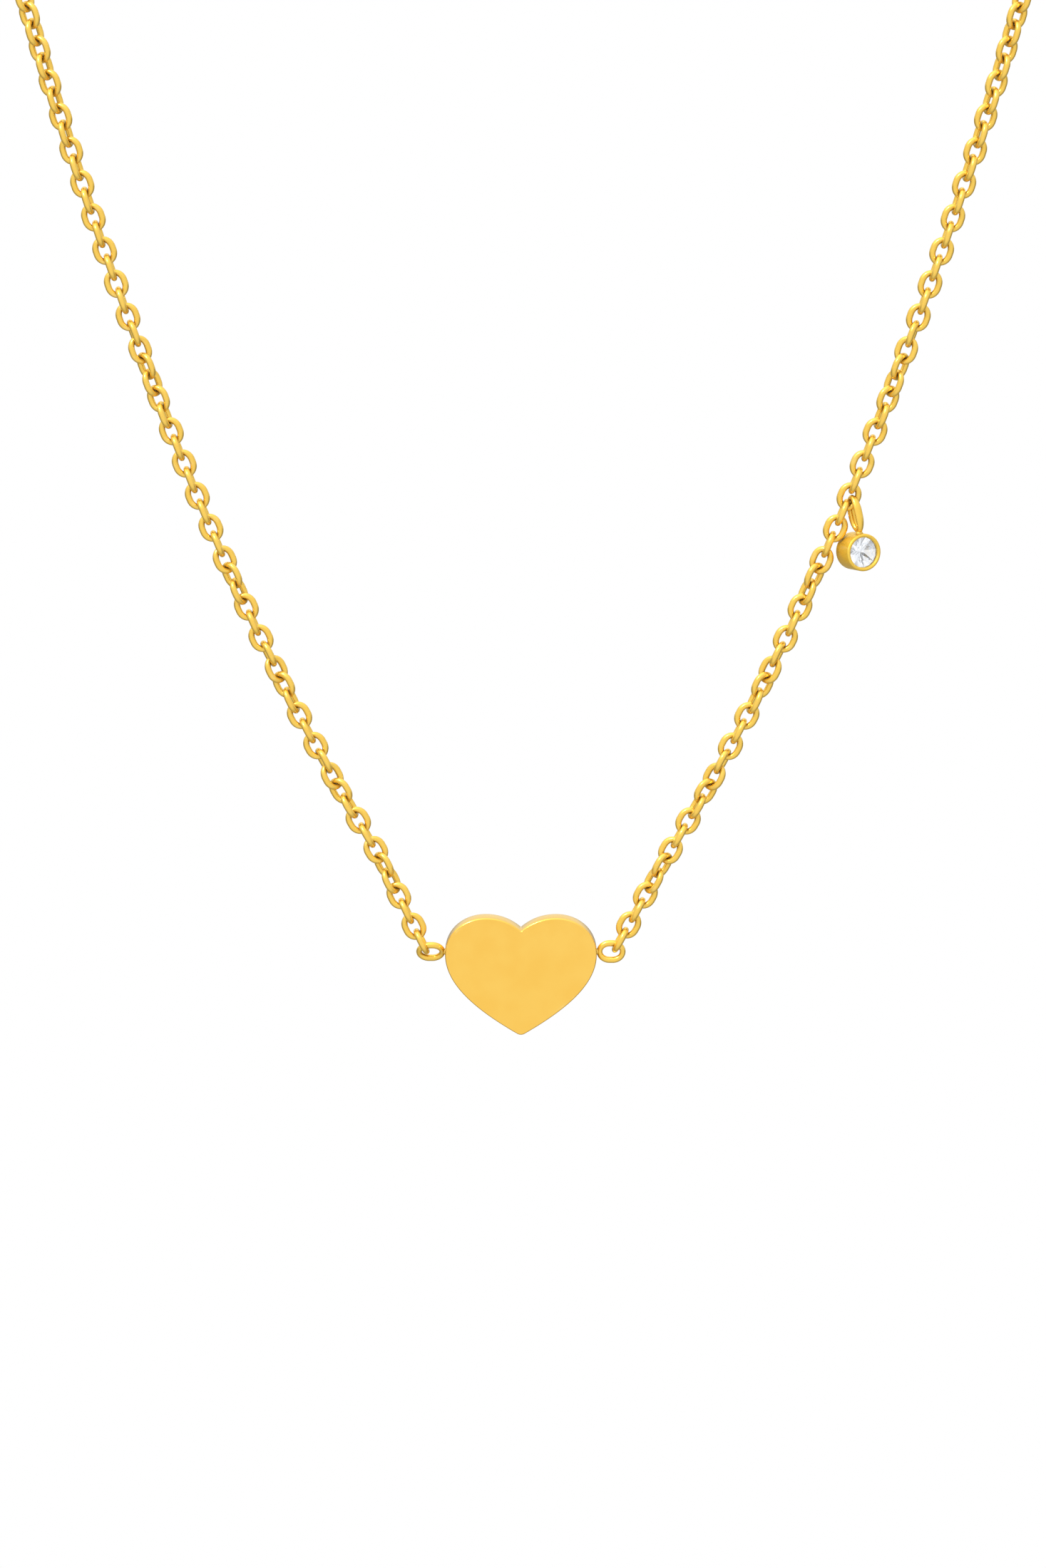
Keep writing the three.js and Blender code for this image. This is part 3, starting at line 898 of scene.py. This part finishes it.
def build_clasp():
    """The clasp on its jump ring, and the ring it closes on."""
    place = clasp_frame()
    build_clasp_body(place)
    build_clasp_bolt(place)
    build_clasp_spring(place)
    eye = piece("clasp_eye_loop", "clasp", "gold_tone_wire", wire_gold, "clasp_eye")
    eye_place = place @ Matrix.Translation(
        (-(EYE_RADIUS + EYE_WIRE + CLASP_RADIUS + TUBE_RADIUS), 0, 0))
    fill(eye, [(*round_ring(EYE_RADIUS, EYE_WIRE, EYE_STEPS, LOOP_SIDES), eye_place)])
    build_loose_ring("clasp_jump_ring_wire", "clasp_jump_ring", "clasp_jump_ring",
                     JUMP_RADIUS, JUMP_WIRE, "clasp_jump_ring_swing", split=2.0)
    build_loose_ring("end_ring_wire", "end_ring", "end_ring",
                     END_RADIUS, END_WIRE, "end_ring_swing", split=1.5)


# ---------------------------------------------------------------- studio

# The camera looks at VIEW_CENTRE, and at that distance the picture is PICTURE_HEIGHT high.
PICTURE_HEIGHT = 134.6 * MM
CAMERA_ELEVATION = math.radians(10.82)
CAMERA_DISTANCE = 0.7
VIEW_CENTRE = Vector((0.18 * MM, 1.85 * MM, 14.09 * MM))
SENSOR_HEIGHT = 36

FLOOR_DROP = 14 * MM
FLOOR_RADIUS = 3.0
FLOOR_STEPS = 96

# Brightness of the tent in front, at the upper back and at the low back, what the back loses
# to the sides, and what is added overhead, all round and on the left.
TENT_FRONT = 1.0
TENT_BACK = 1.0
TENT_LOW = 0.45
TENT_SIDE_DROP = 0.16
TENT_TOP = 0.35
TENT_KEY = 0.8

# Where one part of the tent fades into the next, as coordinates of a direction of length 1.
FRONT_FADE = (-0.75, 0.1)
LOW_FADE = (-0.12, 0.12)
TOP_FADE = (0.35, 0.9)
LEFT_FADE = (-0.9, 0.3)

KEY_PLACE = (-0.45, -0.55, 0.8)
KEY_TARGET = (0, 0, 0.03)
KEY_SIZE = 0.25
KEY_POWER = 4.5


def build_world():
    """A white tent. The front is evenly bright, the top brighter, the sides a little dimmer and
    the low back grey, which draws the edges of polished wire. Seen directly it is white."""
    world = bpy.data.worlds.new("light_tent")
    bpy.context.scene.world = world
    world.use_nodes = True
    nodes, links = world.node_tree.nodes, world.node_tree.links
    nodes.clear()

    def combine(operation, a, b):
        node = nodes.new("ShaderNodeMath")
        node.operation = operation
        for socket, value in zip(node.inputs, (a, b)):
            if isinstance(value, (int, float)):
                socket.default_value = value
            else:
                links.new(value, socket)
        return node.outputs[0]

    direction = nodes.new("ShaderNodeTexCoord").outputs["Generated"]
    axes = nodes.new("ShaderNodeSeparateXYZ")
    links.new(direction, axes.inputs[0])
    x, y, z = axes.outputs
    front = value_range(nodes, links, y, FRONT_FADE, (1, 0))
    above = value_range(nodes, links, z, LOW_FADE, (0, 1))
    overhead = value_range(nodes, links, z, TOP_FADE, (0, 1))
    to_left = value_range(nodes, links, x, LEFT_FADE, (1, 0))
    wall = combine("MULTIPLY_ADD", above, TENT_BACK - TENT_LOW)
    wall.node.inputs[2].default_value = TENT_LOW
    side_reach = combine("MULTIPLY", combine("ABSOLUTE", x, 0), TENT_SIDE_DROP)
    wall = combine("SUBTRACT", wall, side_reach)
    lit = nodes.new("ShaderNodeMix")
    links.new(front, lit.inputs["Factor"])
    links.new(wall, lit.inputs["A"])
    lit.inputs["B"].default_value = TENT_FRONT
    glow = combine("MULTIPLY", combine("MULTIPLY", overhead, to_left), TENT_KEY)
    strength = combine("ADD", combine("ADD", lit.outputs["Result"], glow),
                       combine("MULTIPLY", overhead, TENT_TOP))
    tent = nodes.new("ShaderNodeBackground")
    tent.inputs["Color"].default_value = (1, 1, 1, 1)
    links.new(strength, tent.inputs["Strength"])
    plain = nodes.new("ShaderNodeBackground")
    plain.inputs["Color"].default_value = (1, 1, 1, 1)
    mix = nodes.new("ShaderNodeMixShader")
    links.new(nodes.new("ShaderNodeLightPath").outputs["Is Camera Ray"], mix.inputs[0])
    links.new(tent.outputs[0], mix.inputs[1])
    links.new(plain.outputs[0], mix.inputs[2])
    output = nodes.new("ShaderNodeOutputWorld")
    links.new(mix.outputs[0], output.inputs[0])


def build_floor():
    """A plain pale floor, a disc below the heart's tip that neither shades nor reflects."""
    lowest = CAD_BOUNDS[0][2]
    mesh = bpy.data.meshes.new("studio_floor")
    floor = bpy.data.objects.new("studio_floor", mesh)
    bpy.context.scene.collection.objects.link(floor)
    disc = bmesh.new()
    bmesh.ops.create_circle(disc, cap_ends=True, segments=FLOOR_STEPS, radius=FLOOR_RADIUS)
    disc.to_mesh(mesh)
    disc.free()
    floor.location = (0, 0, lowest - FLOOR_DROP)
    material, nodes, links = node_tree("pale_floor")
    output = nodes.new("ShaderNodeOutputMaterial")
    paper = nodes.new("ShaderNodeEmission")
    paper.inputs["Color"].default_value = (1, 1, 1, 1)
    links.new(paper.outputs[0], output.inputs[0])
    mesh.materials.append(material)
    floor.visible_glossy = False
    floor.visible_diffuse = False
    floor.visible_transmission = False
    floor.visible_shadow = False


def add_softbox(name, position, target, size, power):
    """A round area light that faces its target."""
    light = bpy.data.lights.new(name, "AREA")
    light.shape = "DISK"
    light.size = size
    light.energy = power
    lamp = bpy.data.objects.new(name, light)
    bpy.context.scene.collection.objects.link(lamp)
    lamp.location = position
    lamp.rotation_euler = (Vector(target) - Vector(position)).to_track_quat("-Z", "Y").to_euler()


def build_camera():
    """The camera, level from side to side and looking a little down."""
    camera = bpy.data.cameras.new("front_camera")
    camera.sensor_fit = "VERTICAL"
    camera.sensor_height = SENSOR_HEIGHT
    camera.lens = SENSOR_HEIGHT * CAMERA_DISTANCE / PICTURE_HEIGHT
    camera.clip_end = 20
    eye = bpy.data.objects.new("front_camera", camera)
    bpy.context.scene.collection.objects.link(eye)
    toward = Vector((0, math.cos(CAMERA_ELEVATION), -math.sin(CAMERA_ELEVATION)))
    eye.location = VIEW_CENTRE - CAMERA_DISTANCE * toward
    eye.rotation_euler = toward.to_track_quat("-Z", "Y").to_euler()
    bpy.context.scene.camera = eye


build_heart()
build_heart_rings()
build_arm("left")
build_arm("right")
build_charm()
build_clasp()
build_world()
build_floor()
add_softbox("key_softbox", KEY_PLACE, KEY_TARGET, KEY_SIZE, KEY_POWER)
build_camera()
bpy.context.scene.view_settings.view_transform = "Standard"
